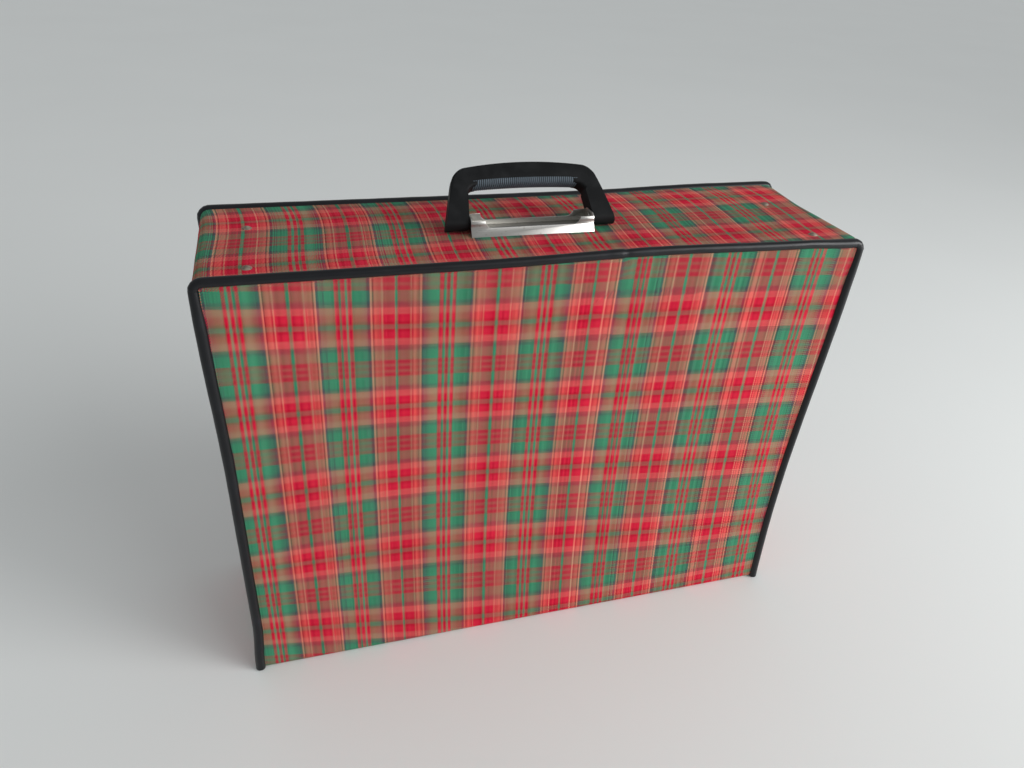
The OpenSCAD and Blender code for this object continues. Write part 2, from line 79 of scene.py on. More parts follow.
def put(tree, kind, inputs=(), **settings):
    """Adds a node to a finish, with a link or a value on each input in turn, and gives its outputs."""
    made = tree.nodes.new("ShaderNode" + kind)
    for key, value in settings.items():
        setattr(made, key, value)
    for socket, value in zip(made.inputs, inputs):
        if isinstance(value, bpy.types.NodeSocket):
            tree.links.new(value, socket)
        elif value is not None:
            socket.default_value = value
    return made.outputs


def reckon(tree, operation, *values):
    return put(tree, "Math", values, operation=operation)[0]


def tinted(tree, share, first, second, way="MIX"):
    """Mixes two colours by a share. The way of mixing goes by Blender's own name."""
    made = tree.nodes.new("ShaderNodeMix")
    made.data_type, made.blend_type = "RGBA", way
    for socket, value in ((made.inputs[0], share), (made.inputs[6], first), (made.inputs[7], second)):
        if isinstance(value, bpy.types.NodeSocket):
            tree.links.new(value, socket)
        else:
            socket.default_value = value if isinstance(value, float) else (*value[:3], 1)
    return made.outputs[2]


def spread(tree, value, low, high, out_low, out_high):
    """Carries a value from one range over to another, and holds it at the ends."""
    return put(tree, "MapRange", (value, low, high, out_low, out_high))[0]


def banded(tree, place, bands):
    """Colours laid side by side, each from its own place on."""
    made = tree.nodes.new("ShaderNodeValToRGB")
    made.color_ramp.interpolation = "CONSTANT"
    stops = made.color_ramp.elements
    stops.remove(stops[1])
    stops[0].position, stops[0].color = bands[0][0], (*bands[0][1], 1)
    for at, colour in bands[1:]:
        stops.new(at).color = (*colour, 1)
    tree.links.new(place, made.inputs[0])
    return made.outputs[0]


def new_finish(name):
    finish = bpy.data.materials.new(name)
    finish.use_nodes = True
    return finish, finish.node_tree, finish.node_tree.nodes["Principled BSDF"]


def roughen(tree, shader, height, strength, depth):
    bump = put(tree, "Bump", (strength, depth, None, height))
    tree.links.new(bump[0], shader.inputs["Normal"])


def woven(tree, thread, floats):
    """Threads of a weave: their counts both ways, which way lies on top, and how high it stands there."""
    ways = put(tree, "SeparateXYZ", [put(tree, "UVMap", uv_map="weave")[0]])[:2]
    places = [reckon(tree, "DIVIDE", way, thread) for way in ways]
    counts = [reckon(tree, "FLOOR", place) for place in places]
    arcs = [reckon(tree, "MULTIPLY", reckon(tree, "FRACT", place), math.pi) for place in places]
    crowns = [reckon(tree, "SINE", arc) for arc in arcs]
    step = reckon(tree, "FLOORED_MODULO", reckon(tree, "ADD", *counts), 2 * floats)
    over = reckon(tree, "LESS_THAN", step, floats)
    return ways, counts, over, spread(tree, over, 0, 1, crowns[1], crowns[0])


def scattered(tree, count, low, high):
    """A value that differs from thread to thread."""
    chance = put(tree, "TexWhiteNoise", [None, count], noise_dimensions="1D")[0]
    return spread(tree, chance, 0, 1, low, high)


def shaded(tree, colour, *shares):
    for share in shares:
        colour = tinted(tree, 1.0, colour, put(tree, "CombineColor", [share] * 3)[0], "MULTIPLY")
    return colour


def tartan(name):
    """Cotton twill in a symmetrical check: red and green, with cream, orange and navy guard lines."""
    finish, tree, shader = new_finish(name)
    half_sett, thread, rib = 40.8 * mm, 0.55 * mm, 1.2 * mm
    green, navy, cream = seen(62, 142, 104), seen(66, 68, 78), seen(222, 142, 114)
    crimson, orange, brown = seen(202, 12, 52), seen(222, 98, 86), seen(138, 52, 52)
    scarlet, wine, salmon = seen(208, 24, 54), seen(174, 8, 36), seen(206, 98, 92)
    fern, russet, moss = seen(54, 124, 94), seen(148, 58, 60), seen(116, 98, 80)
    slate, plum = seen(72, 84, 80), seen(116, 82, 78)
    warp = [(0, crimson), (1.4, green), (3.4, crimson), (6.4, green), (14.4, navy), (15.0, green),
            (16.2, navy), (16.9, green), (17.8, navy), (20.4, cream), (21.9, brown), (23.0, orange),
            (27.6, crimson), (28.7, cream), (30.0, crimson), (39.4, green)]
    weft = [(0, russet), (1.6, moss), (4.6, russet), (8.4, fern), (17.8, slate), (20.4, plum),
            (23.0, salmon), (29.4, scarlet), (36.0, wine), (38.4, moss)]
    ways, counts, over, crown = woven(tree, thread, 2)
    colours = []
    for count, lines in zip(counts, (warp, weft)):
        place = reckon(tree, "PINGPONG", reckon(tree, "MULTIPLY_ADD", count, thread, half_sett), half_sett)
        bands = [(at * mm / half_sett, colour) for at, colour in lines]
        colours.append(banded(tree, reckon(tree, "DIVIDE", place, half_sett), bands))
    ribs = reckon(tree, "FLOOR", reckon(tree, "DIVIDE", ways[0], rib))
    warp_colour = shaded(tree, colours[0], scattered(tree, ribs, 0.7, 1.24))
    warp_colour = tinted(tree, scattered(tree, ribs, 0, 0.03), warp_colour, (1, 0.94, 0.9))
    weft_colour = shaded(tree, colours[1], scattered(tree, counts[1], 0.9, 1.08))
    colour = tinted(tree, over, weft_colour, warp_colour)
    body = put(tree, "TexCoord")["Object"]
    cloudy = put(tree, "TexNoise", (body, None, 13.0, 3.0))[0]
    # Painted shade between the threads: each thread's colour is darkened where it dips and lightened on its
    # crown.
    colour = shaded(tree, colour, spread(tree, crown, 0, 1, 0.86, 1.06))
    colour = shaded(tree, colour, spread(tree, cloudy, 0.3, 0.7, 0.94, 1.06))
    tree.links.new(colour, shader.inputs["Base Color"])
    tree.links.new(spread(tree, crown, 0, 1, 0.95, 0.8), shader.inputs["Roughness"])
    shader.inputs["Specular IOR Level"].default_value = 0.12
    roughen(tree, shader, crown, 0.35, 0.12 * mm)
    return finish


def eased(value, low, high):
    """Rises smoothly from 0 at the low value to 1 at the high one."""
    share = min(1, max(0, (value - low) / (high - low)))
    return share * share * (3 - 2 * share)


def drawn(point):
    """Where years of use have put a point: ends pulled in at the front, upper edges a little uneven."""
    x, y, z = point
    if x < 0:
        outward = -3.4 * mm * eased(z, 0, 60 * mm) * (1 - eased(z, 230 * mm, 390 * mm))
    else:
        outward = 4.9 * mm * math.cos(math.pi * (400 * mm - z) / (277 * mm)) - 2.6 * mm
        outward += 1 * mm * eased(z, 360 * mm, 405 * mm)
    hump = 2.4 * mm * eased(x, -70 * mm, 80 * mm) * (1 - eased(x, 80 * mm, 214 * mm))
    dip = 1.8 * mm * eased(x, 214 * mm, 262 * mm)
    rear_rise = 2.5 * mm * eased(x, 60 * mm, 200 * mm)
    rise = hump * eased(-y, 20 * mm, 75 * mm) + rear_rise * eased(y, 10 * mm, 73 * mm)
    rise -= dip * eased(-y, band_half - 1 * mm, band_half + 4 * mm)
    x *= 1 + outward * eased(-y, -60 * mm, 75 * mm) / case_half
    return Vector((x, y, z + rise * eased(z, 250 * mm, 405 * mm)))


def rounded(x, z, half, top, corner):
    """Moves a point of a square-cornered panel so that its two upper corners become round."""
    across, up = (abs(x) - half + corner) / corner, (z - top + corner) / corner
    if across <= 0 or up <= 0:
        return x, z
    round_x, round_z = across * math.sqrt(1 - up * up / 2), up * math.sqrt(1 - across * across / 2)
    return math.copysign(half - corner + round_x * corner, x), top - corner + round_z * corner


def cut_cloth(name, size, cells, lay, pattern, thickness, finish, inside=False):
    """A flat cut of cloth, its weave kept in a UV map, then laid on the case point by point."""
    bm = bmesh.new()
    bmesh.ops.create_grid(bm, x_segments=cells[0], y_segments=cells[1], size=0.5)
    weave = bm.loops.layers.uv.new("weave")
    flat = {v: (v.co.x * size[0], (0.5 - v.co.y) * size[1]) for v in bm.verts}
    for face in bm.faces:
        face.smooth = True
        for loop in face.loops:
            loop[weave].uv = pattern(*flat[loop.vert])
    for v in bm.verts:
        v.co = lay(*flat[v])
    for edge in bm.edges:
        edge.smooth = not edge.is_boundary
    bm.normal_update()
    middle = Vector((0, 0, case_top / 2))
    outwards = sum(f.normal.dot(f.calc_center_median() - middle) * f.calc_area() for f in bm.faces) > 0
    if outwards == inside:
        bmesh.ops.reverse_faces(bm, faces=bm.faces)
    mesh = bpy.data.meshes.new(name)
    bm.to_mesh(mesh)
    bm.free()
    mesh.materials.append(finish)
    piece = bpy.data.objects.new(name, mesh)
    bpy.context.scene.collection.objects.link(piece)
    wall = piece.modifiers.new("thickness", "SOLIDIFY")
    wall.thickness, wall.offset = thickness, -1
    return piece


def lay_front(across, down):
    """The cloth's upper edge runs a little way on into the piped seam, its lower edge on under the case."""
    drop, bend = front_top + sewn_in - front_fold, front_fold * math.pi / 2
    if down <= drop:
        x, z = rounded(across, front_fold + drop - down, front_half, front_fold + drop, front_corner)
        edge = 60 * mm
        free = eased(front_half - abs(x), 0, edge) * eased(front_top - z, 0, edge)
        free *= eased(z, front_fold, edge)
        height = min(1, z / front_top)
        belly = math.cos((x - 30 * mm) / front_half * 1.2) * math.sin(math.pi * height ** 0.6)
        waves = 0.7 * mm * math.sin(x * 31 + z * 12) * math.sin(z * 38 + x * 9 + 1)
        slack = 0.3 + 0.7 * eased(abs(x - 40 * mm), 40 * mm, 200 * mm)
        creases = math.sin(z * 170 - x * 34 + 2.4 * math.sin(x * 11)) * math.cos(z * 9 + x * 6)
        proud = 5 * mm * belly ** 2 + waves + 0.6 * mm * slack * creases
        return drawn((x, front_face - proud * free, z))
    if down <= drop + bend:
        turn = (down - drop) / front_fold
        y, z = front_face + front_fold * (1 - math.cos(turn)), front_fold * (1 - math.sin(turn))
        return drawn((across, y, z))
    y = front_face + front_fold + down - drop - bend
    wide = eased(y, -band_half - 1.4 * mm, -band_half) * eased(-y, -band_half - 1 * mm, -band_half)
    return drawn((across * (1 + wide * (case_half / front_half - 1)), y, 0))


def front_check(across, down):
    """The check was laid on askew: its rows sag to the right in long waves, its columns bow a little.

    The waves were read off the photograph as if the front were flat, so each point is carried back onto
    the flat front along the line of sight before they are worked out. There a runs from -1 at the left end
    to 1 at the right, b from -1 at the floor to 1 at the top, and u and v are in millimetres.
    """
    place = lay_front(across, down)
    x, z = place.x, place.z if place.y <= front_face else front_top + sewn_in - down
    swell = max(0, front_face - place.y)
    nearer = swell / (front_face - standpoint.y - swell)
    x, z = x + (x - standpoint.x) * nearer, z + (z - standpoint.z) * nearer
    a, b = x / front_half, 2 * z / case_top - 1
    u = 55.4 + 1.5 * a + 1.4 * b + 4.2 * a * b - 7.2 * a ** 2 - 3.7 * b ** 2 * (1 + a) + 1.3 * a ** 2 * b
    a, b = a * math.pi / 2, b * math.pi / 2
    v = 438.4 - 7.3 * a + 9.7 * math.sin(b - a) + 8.2 * math.cos(2 * b - a) - 3.8 * math.sin(2 * b - a)
    v += 2.7 * math.cos(2 * b + a) - 2.2 * math.sin(2 * b + 2 * a) - 2.3 * math.cos(3 * b - a)
    return x + u * mm, v * mm - z


tartan_cloth = tartan("tartan cotton")
front_length = front_top + sewn_in - front_fold * (2 - math.pi / 2) + bottom_rear - front_face
front_cloth = cut_cloth("front_cloth", (2 * front_half, front_length), (108, 220), lay_front, front_check,
                        cloth_thickness, tartan_cloth)
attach(front_cloth, "case")
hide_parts("front_cover", "bottom_cover")


# Band cloth
# A second strip of the same tartan, glued in one run up the left end, over the top and down the right end.
# Its check isn't matched to the front, and its long edges are caught in the two piped seams.
def round_the_ends(along, inset):
    """Place at a distance from the middle of the top, measured round the corners and down the ends."""
    half, top, corner = case_half - inset, case_top - inset, case_corner - inset
    flat, bend = half - corner, corner * math.pi / 2
    reach = abs(along)
    if reach <= flat:
        return along, top
    if reach <= flat + bend:
        turn = (reach - flat) / corner
        return math.copysign(flat + corner * math.sin(turn), along), top - corner * (1 - math.cos(turn))
    return math.copysign(half, along), top - corner - (reach - flat - bend)


def run_of(inset, base):
    """Length of such a run from foot to foot, at some depth under the cloth's face."""
    bend = (case_corner - inset) * math.pi / 2
    return 2 * (case_half - case_corner + bend + case_top - case_corner - base)


def lay_band(along, over):
    x, z = round_the_ends(along, 0)
    y = over - band_half - sewn_in
    still = eased(band_half - abs(y), 0, 25 * mm) * eased(z, 0, 40 * mm)
    ripple = 0.35 * mm * abs(math.sin(along * 43) * math.sin(over * 60 + along * 11)) * still
    in_x, in_z = (0, ripple) if abs(x) < case_half - case_corner else (math.copysign(ripple, x), 0)
    return drawn((x, y, z)) - Vector((in_x, 0, in_z))


def band_check(along, over):
    """The strip's check runs a little askew. Its slant, too, was read off as if the top were flat."""
    x, z = round_the_ends(along, 0)
    y = over - band_half - sewn_in
    rise = drawn((x, y, z)).z - z
    nearer = rise / (standpoint.z - case_top - rise)
    along, y = along + (x - standpoint.x) * nearer, y + (y - standpoint.y) * nearer
    a, b = min(1, max(-1, along / case_half)), y / band_half
    u = 3.1 * a - 3.4 * a * b - 5.3 * b + 2.8 * b ** 2 + 4 * b ** 3 - 1.7
    return along + u * mm, y + (44.5 - 6.1 * a - 6.1 * b) * mm


band_run, band_width = run_of(0, cloth_thickness), 2 * (band_half + sewn_in)
band_cloth = cut_cloth("band_cloth", (band_run, band_width), (460, 24), lay_band, band_check,
                       cloth_thickness, tartan_cloth)
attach(band_cloth, "case")
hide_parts("band_cover")


# Boards
# Grey pulp board, cut with a knife and glued behind the cloths: front, top, bottom, two ends and the lid.
# The front edges of the two end boards have bowed in under the pull of the cloth.
def grey_board(name):
    finish, tree, shader = new_finish(name)
    body = put(tree, "TexCoord")["Object"]
    pulp = put(tree, "TexNoise", (body, None, 900.0, 4.0))[0]
    flecks = put(tree, "TexVoronoi", (body, None, 420.0))[0]
    colour = tinted(tree, spread(tree, pulp, 0.35, 0.65, 0, 1), seen(132, 118, 98), seen(170, 156, 132))
    colour = tinted(tree, spread(tree, flecks, 0, 0.18, 0.7, 0), colour, seen(92, 82, 70))
    tree.links.new(colour, shader.inputs["Base Color"])
    tree.links.new(spread(tree, pulp, 0, 1, 0.8, 0.98), shader.inputs["Roughness"])
    roughen(tree, shader, pulp, 0.3, 0.2 * mm)
    return finish


def refinish(finish, *nodes):
    """Gives a new finish to CAD nodes whose shape is right as it is."""
    for name in nodes:
        frame["nodes"][name].data.materials.clear()
        frame["nodes"][name].data.materials.append(finish)


def copied(node):
    """A copy of a CAD node's mesh, with its loose triangles joined and its flat faces whole again."""
    bm = bmesh.new()
    bm.from_mesh(frame["nodes"][node].data)
    bmesh.ops.remove_doubles(bm, verts=bm.verts, dist=0.001 * mm)
    bmesh.ops.dissolve_limit(bm, angle_limit=math.radians(0.5), verts=bm.verts, edges=bm.edges)
    return bm


def shaped(name, bm, *finishes, smooth_under=40):
    """Makes the piece's object, with edges sharper than an angle left crisp."""
    mesh = bpy.data.meshes.new(name)
    for face in bm.faces:
        face.smooth = True
    bm.to_mesh(mesh)
    bm.free()
    mesh.set_sharp_from_angle(angle=math.radians(smooth_under))
    for finish in finishes:
        mesh.materials.append(finish)
    piece = bpy.data.objects.new(name, mesh)
    bpy.context.scene.collection.objects.link(piece)
    return piece


pulp_board = grey_board("grey pulp board")
refinish(pulp_board, "front_board", "bottom_board", "top_board", "lid_board")
upwards, rearwards = Vector((0, 0, 1)), Vector((0, 1, 0))
cuts = [(upwards, level * 28 * mm) for level in range(1, 14)]
cuts += [(rearwards, level * 25 * mm) for level in range(-2, 3)]
for side in ("left", "right"):
    bm = copied("end_board_" + side)
    bmesh.ops.triangulate(bm, faces=bm.faces)
    for way, reach in cuts:
        whole = bm.verts[:] + bm.edges[:] + bm.faces[:]
        bmesh.ops.bisect_plane(bm, geom=whole, plane_co=way * reach, plane_no=way)
    for v in bm.verts:
        v.co = drawn(v.co)
    end_board = shaped("bowed_end_" + side, bm, pulp_board)
    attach(end_board, "case")
    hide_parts("end_board_" + side)


# Linings and corner tapes
# Unbleached cotton, glued to the inside of each board, with a wider woven tape pasted into the two lower
# corners to cover the raw edges where the lining of the ends meets that of the bottom.
inner_front, inner_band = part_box("front_lining"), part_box("band_lining")
inner_floor, inner_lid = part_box("bottom_lining"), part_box("lid_lining")
lining_thickness = inner_front[1].y - inner_front[0].y
lining_inset = case_half - inner_band[1].x + lining_thickness
lid_lining_corner = 2.4 * mm


def plain_weave(name, light, dark, thread, gloss=0.9):
    finish, tree, shader = new_finish(name)
    counts, over, crown = woven(tree, thread, 1)[1:]
    slub = [scattered(tree, count, 0, 1) for count in counts]
    tone = spread(tree, over, 0, 1, slub[1], slub[0])
    age = put(tree, "TexNoise", (put(tree, "TexCoord")["Object"], None, 9.0, 4.0))[0]
    # Painted shade between the threads, over each thread's own random tone: the colour goes dark where a
    # thread dips and light on its crown.
    colour = tinted(tree, spread(tree, reckon(tree, "MULTIPLY", tone, crown), 0, 1, 0, 0.8), dark, light)
    colour = tinted(tree, spread(tree, age, 0.45, 0.75, 0, 0.35), colour, tuple(0.72 * c for c in dark))
    tree.links.new(colour, shader.inputs["Base Color"])
    tree.links.new(spread(tree, crown, 0, 1, 0.97, gloss), shader.inputs["Roughness"])
    roughen(tree, shader, crown, 0.4, 0.15 * mm)
    return finish


def laid_flat(across, down):
    return across, down


def lay_front_lining(across, down):
    x, z = rounded(across, front_top - down, front_half, front_top, front_corner)
    return drawn((x, inner_front[1].y, z))


def lay_band_lining(along, over):
    x, z = round_the_ends(along, lining_inset)
    return drawn((x, over + inner_band[0].y, z))


def lay_bottom_lining(across, over):
    y = over + inner_floor[0].y
    return drawn((across * (front_half / inner_floor[1].x if y < -band_half else 1), y, inner_floor[1].z))


def lay_lid_lining(across, down):
    x, z = rounded(across, inner_lid[1].z - down, inner_lid[1].x, inner_lid[1].z, lid_lining_corner)
    return Vector((x, inner_lid[0].y, z))


lining_cotton = plain_weave("unbleached lining cotton", seen(214, 200, 172), seen(176, 158, 126), 0.6 * mm)
front_lining_size = (2 * front_half, front_top - inner_front[0].z)
band_lining_size = (run_of(lining_inset, inner_band[0].z), inner_band[1].y - inner_band[0].y)
bottom_lining_size = (2 * inner_floor[1].x, inner_floor[1].y - inner_floor[0].y)
lid_lining_size = (2 * inner_lid[1].x, inner_lid[1].z - inner_lid[0].z)
for node, body, size, cells, lay, held_by in (
        ("front_lining", "case", front_lining_size, (54, 80), lay_front_lining, ["front_board"]),
        ("band_lining", "case", band_lining_size, (440, 14), lay_band_lining,
         ["top_board", "end_board_left", "end_board_right"]),
        ("bottom_lining", "case", bottom_lining_size, (40, 100), lay_bottom_lining, ["bottom_board"]),
        ("lid_lining", "lid", lid_lining_size, (48, 60), lay_lid_lining, ["lid_board"])):
    lining = cut_cloth(node + "_cotton", size, cells, lay, laid_flat, lining_thickness, lining_cotton,
                       inside=True)
    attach(lining, body)
    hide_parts(node)

tape_low, tape_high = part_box("corner_tape_right")
tape_wall, tape_floor = tape_high.x - lining_thickness, tape_low.z + lining_thickness
tape_leg = tape_wall - tape_low.x
corner_tape_size = (tape_high.y - tape_low.y, 2 * tape_leg)
tape_weave = plain_weave("corner tape", seen(178, 152, 112), seen(140, 114, 80), 0.8 * mm)
for side, node in ((-1, "corner_tape_left"), (1, "corner_tape_right")):
    def lay_corner_tape(along, over):
        reach = over - tape_leg
        x, z = tape_wall + min(0, reach), tape_floor + max(0, reach)
        return drawn((side * x, along + (tape_low.y + tape_high.y) / 2, z))

    corner_tape = cut_cloth(node + "_cotton", corner_tape_size, (24, 20), lay_corner_tape, laid_flat,
                            lining_thickness, tape_weave, inside=True)
    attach(corner_tape, "case")
    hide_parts(node)


# Piping
# Black vinyl folded round a cord and sewn into the front and rear seams: up the left end, over the top, down
# the right end, cut off square at the floor. The front run has a join on the top, right of the middle.
seam_gap = 0.1 * mm
piping_low, piping_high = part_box("rear_piping")
bead_radius = (piping_high.x - front_half - seam_gap) / 2
bead_half, bead_depth, bead_top = (reach - bead_radius for reach in piping_high)
bead_bend, bead_foot = case_corner - (case_half - bead_half), piping_low.z
bead_turn_x, bead_turn_z = bead_half - bead_bend, bead_top - bead_bend
tongue_thickness, tongue_out = 0.8 * mm, case_half - cloth_thickness - seam_gap
tongue_from, tongue_to = piping_low.y, bead_depth - bead_radius / 2


def black_vinyl(name):
    finish, tree, shader = new_finish(name)
    body = put(tree, "TexCoord")["Object"]
    grain = put(tree, "TexVoronoi", (body, None, 1500.0), feature="SMOOTH_F1")[0]
    creases = put(tree, "TexNoise", (body, None, 240.0, 3.0))[0]
    rubbed = put(tree, "TexNoise", (body, None, 38.0, 5.0))[0]
    colour = tinted(tree, spread(tree, rubbed, 0.55, 0.75, 0, 0.6), seen(9, 10, 15), seen(26, 29, 37))
    tree.links.new(colour, shader.inputs["Base Color"])
    tree.links.new(spread(tree, rubbed, 0.3, 0.75, 0.3, 0.44), shader.inputs["Roughness"])
    shader.inputs["Specular IOR Level"].default_value = 0.35
    roughen(tree, shader, reckon(tree, "ADD", grain, reckon(tree, "MULTIPLY", creases, 2)), 0.25, 0.12 * mm)
    return finish


def swept_round(bm, face, depth):
    """Pulls a section up one end, round the corner, over the top and down the other end."""
    def pulled(face, way, steps):
        for _ in range(steps):
            made = bmesh.ops.extrude_face_region(bm, geom=[face])["geom"]
            face = next(g for g in made if isinstance(g, bmesh.types.BMFace))
            bmesh.ops.translate(bm, verts=face.verts, vec=Vector(way) / steps)
        return face

    def turned(face, x):
        made = bmesh.ops.spin(bm, geom=[face], cent=(x, depth, bead_turn_z), axis=(0, 1, 0),
                              angle=math.pi / 2, steps=14)["geom_last"]
        return next(g for g in made if isinstance(g, bmesh.types.BMFace))

    rise, run = bead_turn_z - bead_foot, 2 * bead_turn_x
    face = turned(pulled(face, (0, 0, rise), 80), -bead_turn_x)
    face = turned(pulled(face, (run, 0, 0), 210), bead_turn_x)
    pulled(face, (0, 0, -rise), 80)
    inside = [f for f in bm.faces if all(len(e.link_faces) > 2 for e in f.edges)]
    bmesh.ops.delete(bm, geom=inside, context="FACES_ONLY")


def worn_bead(point, depth):
    """Small faults of the bead: waves between its stitches, creased corners and the front run's join."""
    x, y, z = point
    spine_x = min(bead_half, max(-bead_half, x))
    leg = eased(bead_top - z, 4 * mm, 40 * mm)
    corner = z > bead_turn_z - 2 * mm and abs(x) > bead_turn_x - 2 * mm
    if abs(x) < bead_turn_x and z > bead_turn_z:
        spine, along = Vector((x, depth, bead_top)), x
    elif z < bead_turn_z:
        spine, along = Vector((math.copysign(bead_half, x), depth, z)), z
    else:
        middle = Vector((math.copysign(bead_turn_x, x), depth, bead_turn_z))
        out = Vector((x, depth, z)) - middle
        spine, along = middle + out.normalized() * bead_bend, math.atan2(out.z, out.x)
    away = Vector(point) - spine
    forward = 1.2 * mm if depth > 0 else 0
    spine += Vector((-math.copysign(0.6 * mm, x) * leg, -forward * (1 - leg), -0.5 * mm * (1 - leg)))
    swell = 1.2 if depth > 0 else 1 + 0.22 * leg
    swell += 0.02 * math.sin(spine_x * 170 + z * 150) * math.sin(along * 63 + 1)
    if corner:
        swell -= 0.05 * (0.5 + 0.5 * math.cos(along * 17))
    if depth < 0 and z > bead_turn_z:
        lap = eased(x, 36 * mm, 39 * mm) * (1 - eased(x, 49 * mm, 50.5 * mm))
        notch = eased(x, 49.5 * mm, 51 * mm) * (1 - eased(x, 52 * mm, 55 * mm))
        swell += 0.07 * lap - 0.1 * notch
    return drawn(spine + away * swell)


vinyl = black_vinyl("black vinyl")
for name, side in (("front", -1), ("rear", 1)):
    bm = bmesh.new()
    depth = side * bead_depth
    ring = bmesh.ops.create_circle(bm, cap_ends=True, segments=20, radius=bead_radius)["verts"]
    bmesh.ops.translate(bm, verts=ring, vec=(-bead_half, depth, bead_foot))
    swept_round(bm, bm.faces[:][0], depth)
    for v in bm.verts:
        v.co = worn_bead(v.co, depth)
        v.tag = True
    section = ((0, tongue_from), (tongue_thickness, tongue_from),
               (tongue_thickness, tongue_to), (0, tongue_to))
    tongue = [bm.verts.new((inwards - tongue_out, side * y, bead_foot)) for inwards, y in section]
    swept_round(bm, bm.faces.new(tongue), depth)
    for v in bm.verts:
        if not v.tag:
            v.co = drawn(v.co)
    bmesh.ops.recalc_face_normals(bm, faces=bm.faces)
    bead = shaped(name + "_piping_bead", bm, vinyl)
    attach(bead, "case")
    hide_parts(name + "_piping")


# Rivets and inner fittings
# Dull steel rivets with domed heads go through cloth, board and lining, and are spread over sheet steel
# brackets in the two upper corners. A strip of the same sheet backs the handle's plate under the top board.
def steel(name, light, dark, shine, scale):
    finish, tree, shader = new_finish(name)
    body = put(tree, "TexCoord")["Object"]
    patches = put(tree, "TexVoronoi", (body, None, scale))["Color"]
    patch = put(tree, "SeparateColor", [patches])[0]
    haze = put(tree, "TexNoise", (body, None, 300.0, 5.0))[0]
    colour = tinted(tree, patch, dark, light)
    colour = tinted(tree, spread(tree, haze, 0.5, 0.75, 0, 0.5), colour, tuple(0.5 * c for c in dark))
    tree.links.new(colour, shader.inputs["Base Color"])
    shader.inputs["Metallic"].default_value = 1
    tree.links.new(spread(tree, haze, 0.3, 0.7, shine, shine + 0.2), shader.inputs["Roughness"])
    roughen(tree, shader, haze, 0.15, 0.08 * mm)
    return finish


rivet_head = 8 * mm


def riveted(name, stack, places, finish):
    """Like rivets, each turned about its own axis: domed head, shank and the tail spread under the stack."""
    head, rise, sunk, shank = rivet_head / 2, 1.8 * mm, 0.3 * mm, 1.75 * mm
    tail, tail_end, tail_height = 2.9 * mm, 1.8 * mm, 1 * mm
    ball = (head * head + rise * rise) / (2 * rise)
    angles = [math.asin(head / ball) * i / 6 for i in range(7)]
    side = [(ball * math.sin(angle), rise - ball * (1 - math.cos(angle))) for angle in angles]
    side += [(head - 0.1 * mm, -sunk), (shank, -sunk), (shank, -stack), (tail, -stack),
             (tail, -stack - tail_height / 2), (tail_end, -stack - tail_height), (0, -stack - tail_height)]
    bm = bmesh.new()
    for place in places:
        line = [bm.verts.new((reach, 0, height)) for reach, height in side]
        edges = [bm.edges.new(pair) for pair in zip(line, line[1:])]
        bmesh.ops.spin(bm, geom=line + edges, cent=(0, 0, 0), axis=(0, 0, 1), angle=2 * math.pi, steps=24,
                       use_merge=True)
        bmesh.ops.transform(bm, matrix=place, verts=[v for v in bm.verts if not v.tag])
        for v in bm.verts:
            v.tag = True
    bmesh.ops.remove_doubles(bm, verts=bm.verts, dist=0.001 * mm)
    bmesh.ops.recalc_face_normals(bm, faces=bm.faces)
    return shaped(name, bm, finish)


dull_steel = steel("dull rivet steel", seen(178, 165, 150), seen(140, 128, 116), 0.6, 500.0)
zinc_sheet = steel("zinc coated sheet", seen(184, 188, 190), seen(140, 146, 150), 0.32, 160.0)
refinish(zinc_sheet, "corner_bracket_left", "corner_bracket_right", "handle_backing")
rivet_low, rivet_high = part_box("corner_rivets")
rivet_from_corner, rivet_stack = 38 * mm, 5.5 * mm
rivet_places = []
for side in (-1, 1):
    for y in (rivet_low.y + rivet_head / 2, rivet_high.y - rivet_head / 2):
        on_top = Matrix.Translation((side * (case_half - rivet_from_corner), y, case_top))
        on_end = Matrix.Translation((side * case_half, y, case_top - rivet_from_corner))
        rivet_places += [on_top, on_end @ Matrix.Rotation(side * math.pi / 2, 4, "Y")]
corner_rivets = riveted("domed_corner_rivets", rivet_stack, rivet_places, dull_steel)
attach(corner_rivets, "case")
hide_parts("corner_rivets")


# Handle plate
# A shallow tray pressed from nickel-plated sheet, with high ends that carry the handle's pins and low,
# polished walls between them. Two rivets through its floor hold it to the backing strip.
def nickel(name, shine):
    finish, tree, shader = new_finish(name)
    body = put(tree, "TexCoord")["Object"]
    lengthwise = put(tree, "Mapping", (body, None, None, (40, 900, 900)))[0]
    lines = put(tree, "TexNoise", (lengthwise, None, 1.0, 4.0))[0]
    spots = put(tree, "TexNoise", (body, None, 420.0, 5.0))[0]
    colour = tinted(tree, spread(tree, spots, 0.62, 0.72, 0, 0.8), seen(182, 180, 175), seen(138, 130, 118))
    tree.links.new(colour, shader.inputs["Base Color"])
    shader.inputs["Metallic"].default_value = 1
    tree.links.new(spread(tree, lines, 0.3, 0.7, shine, shine + 0.14), shader.inputs["Roughness"])
    roughen(tree, shader, lines, 0.08, 0.05 * mm)
    return finish


def rounded_over(bm, chosen, width, steps, affect="EDGES", clamp=False):
    bmesh.ops.bevel(bm, geom=chosen, offset=width, offset_type="OFFSET", segments=steps, profile=0.5,
                    affect=affect, material=-1, clamp_overlap=clamp)


def edged(node, name, width, finish):
    """A copy of a CAD node with its hard edges rounded over, as pressing and tumbling leave them."""
    bm = copied(node)
    hard = [e for e in bm.edges if e.is_manifold and e.calc_face_angle(0) > math.radians(35)]
    rounded_over(bm, hard, width, 2, clamp=True)
    return shaped(name, bm, finish)


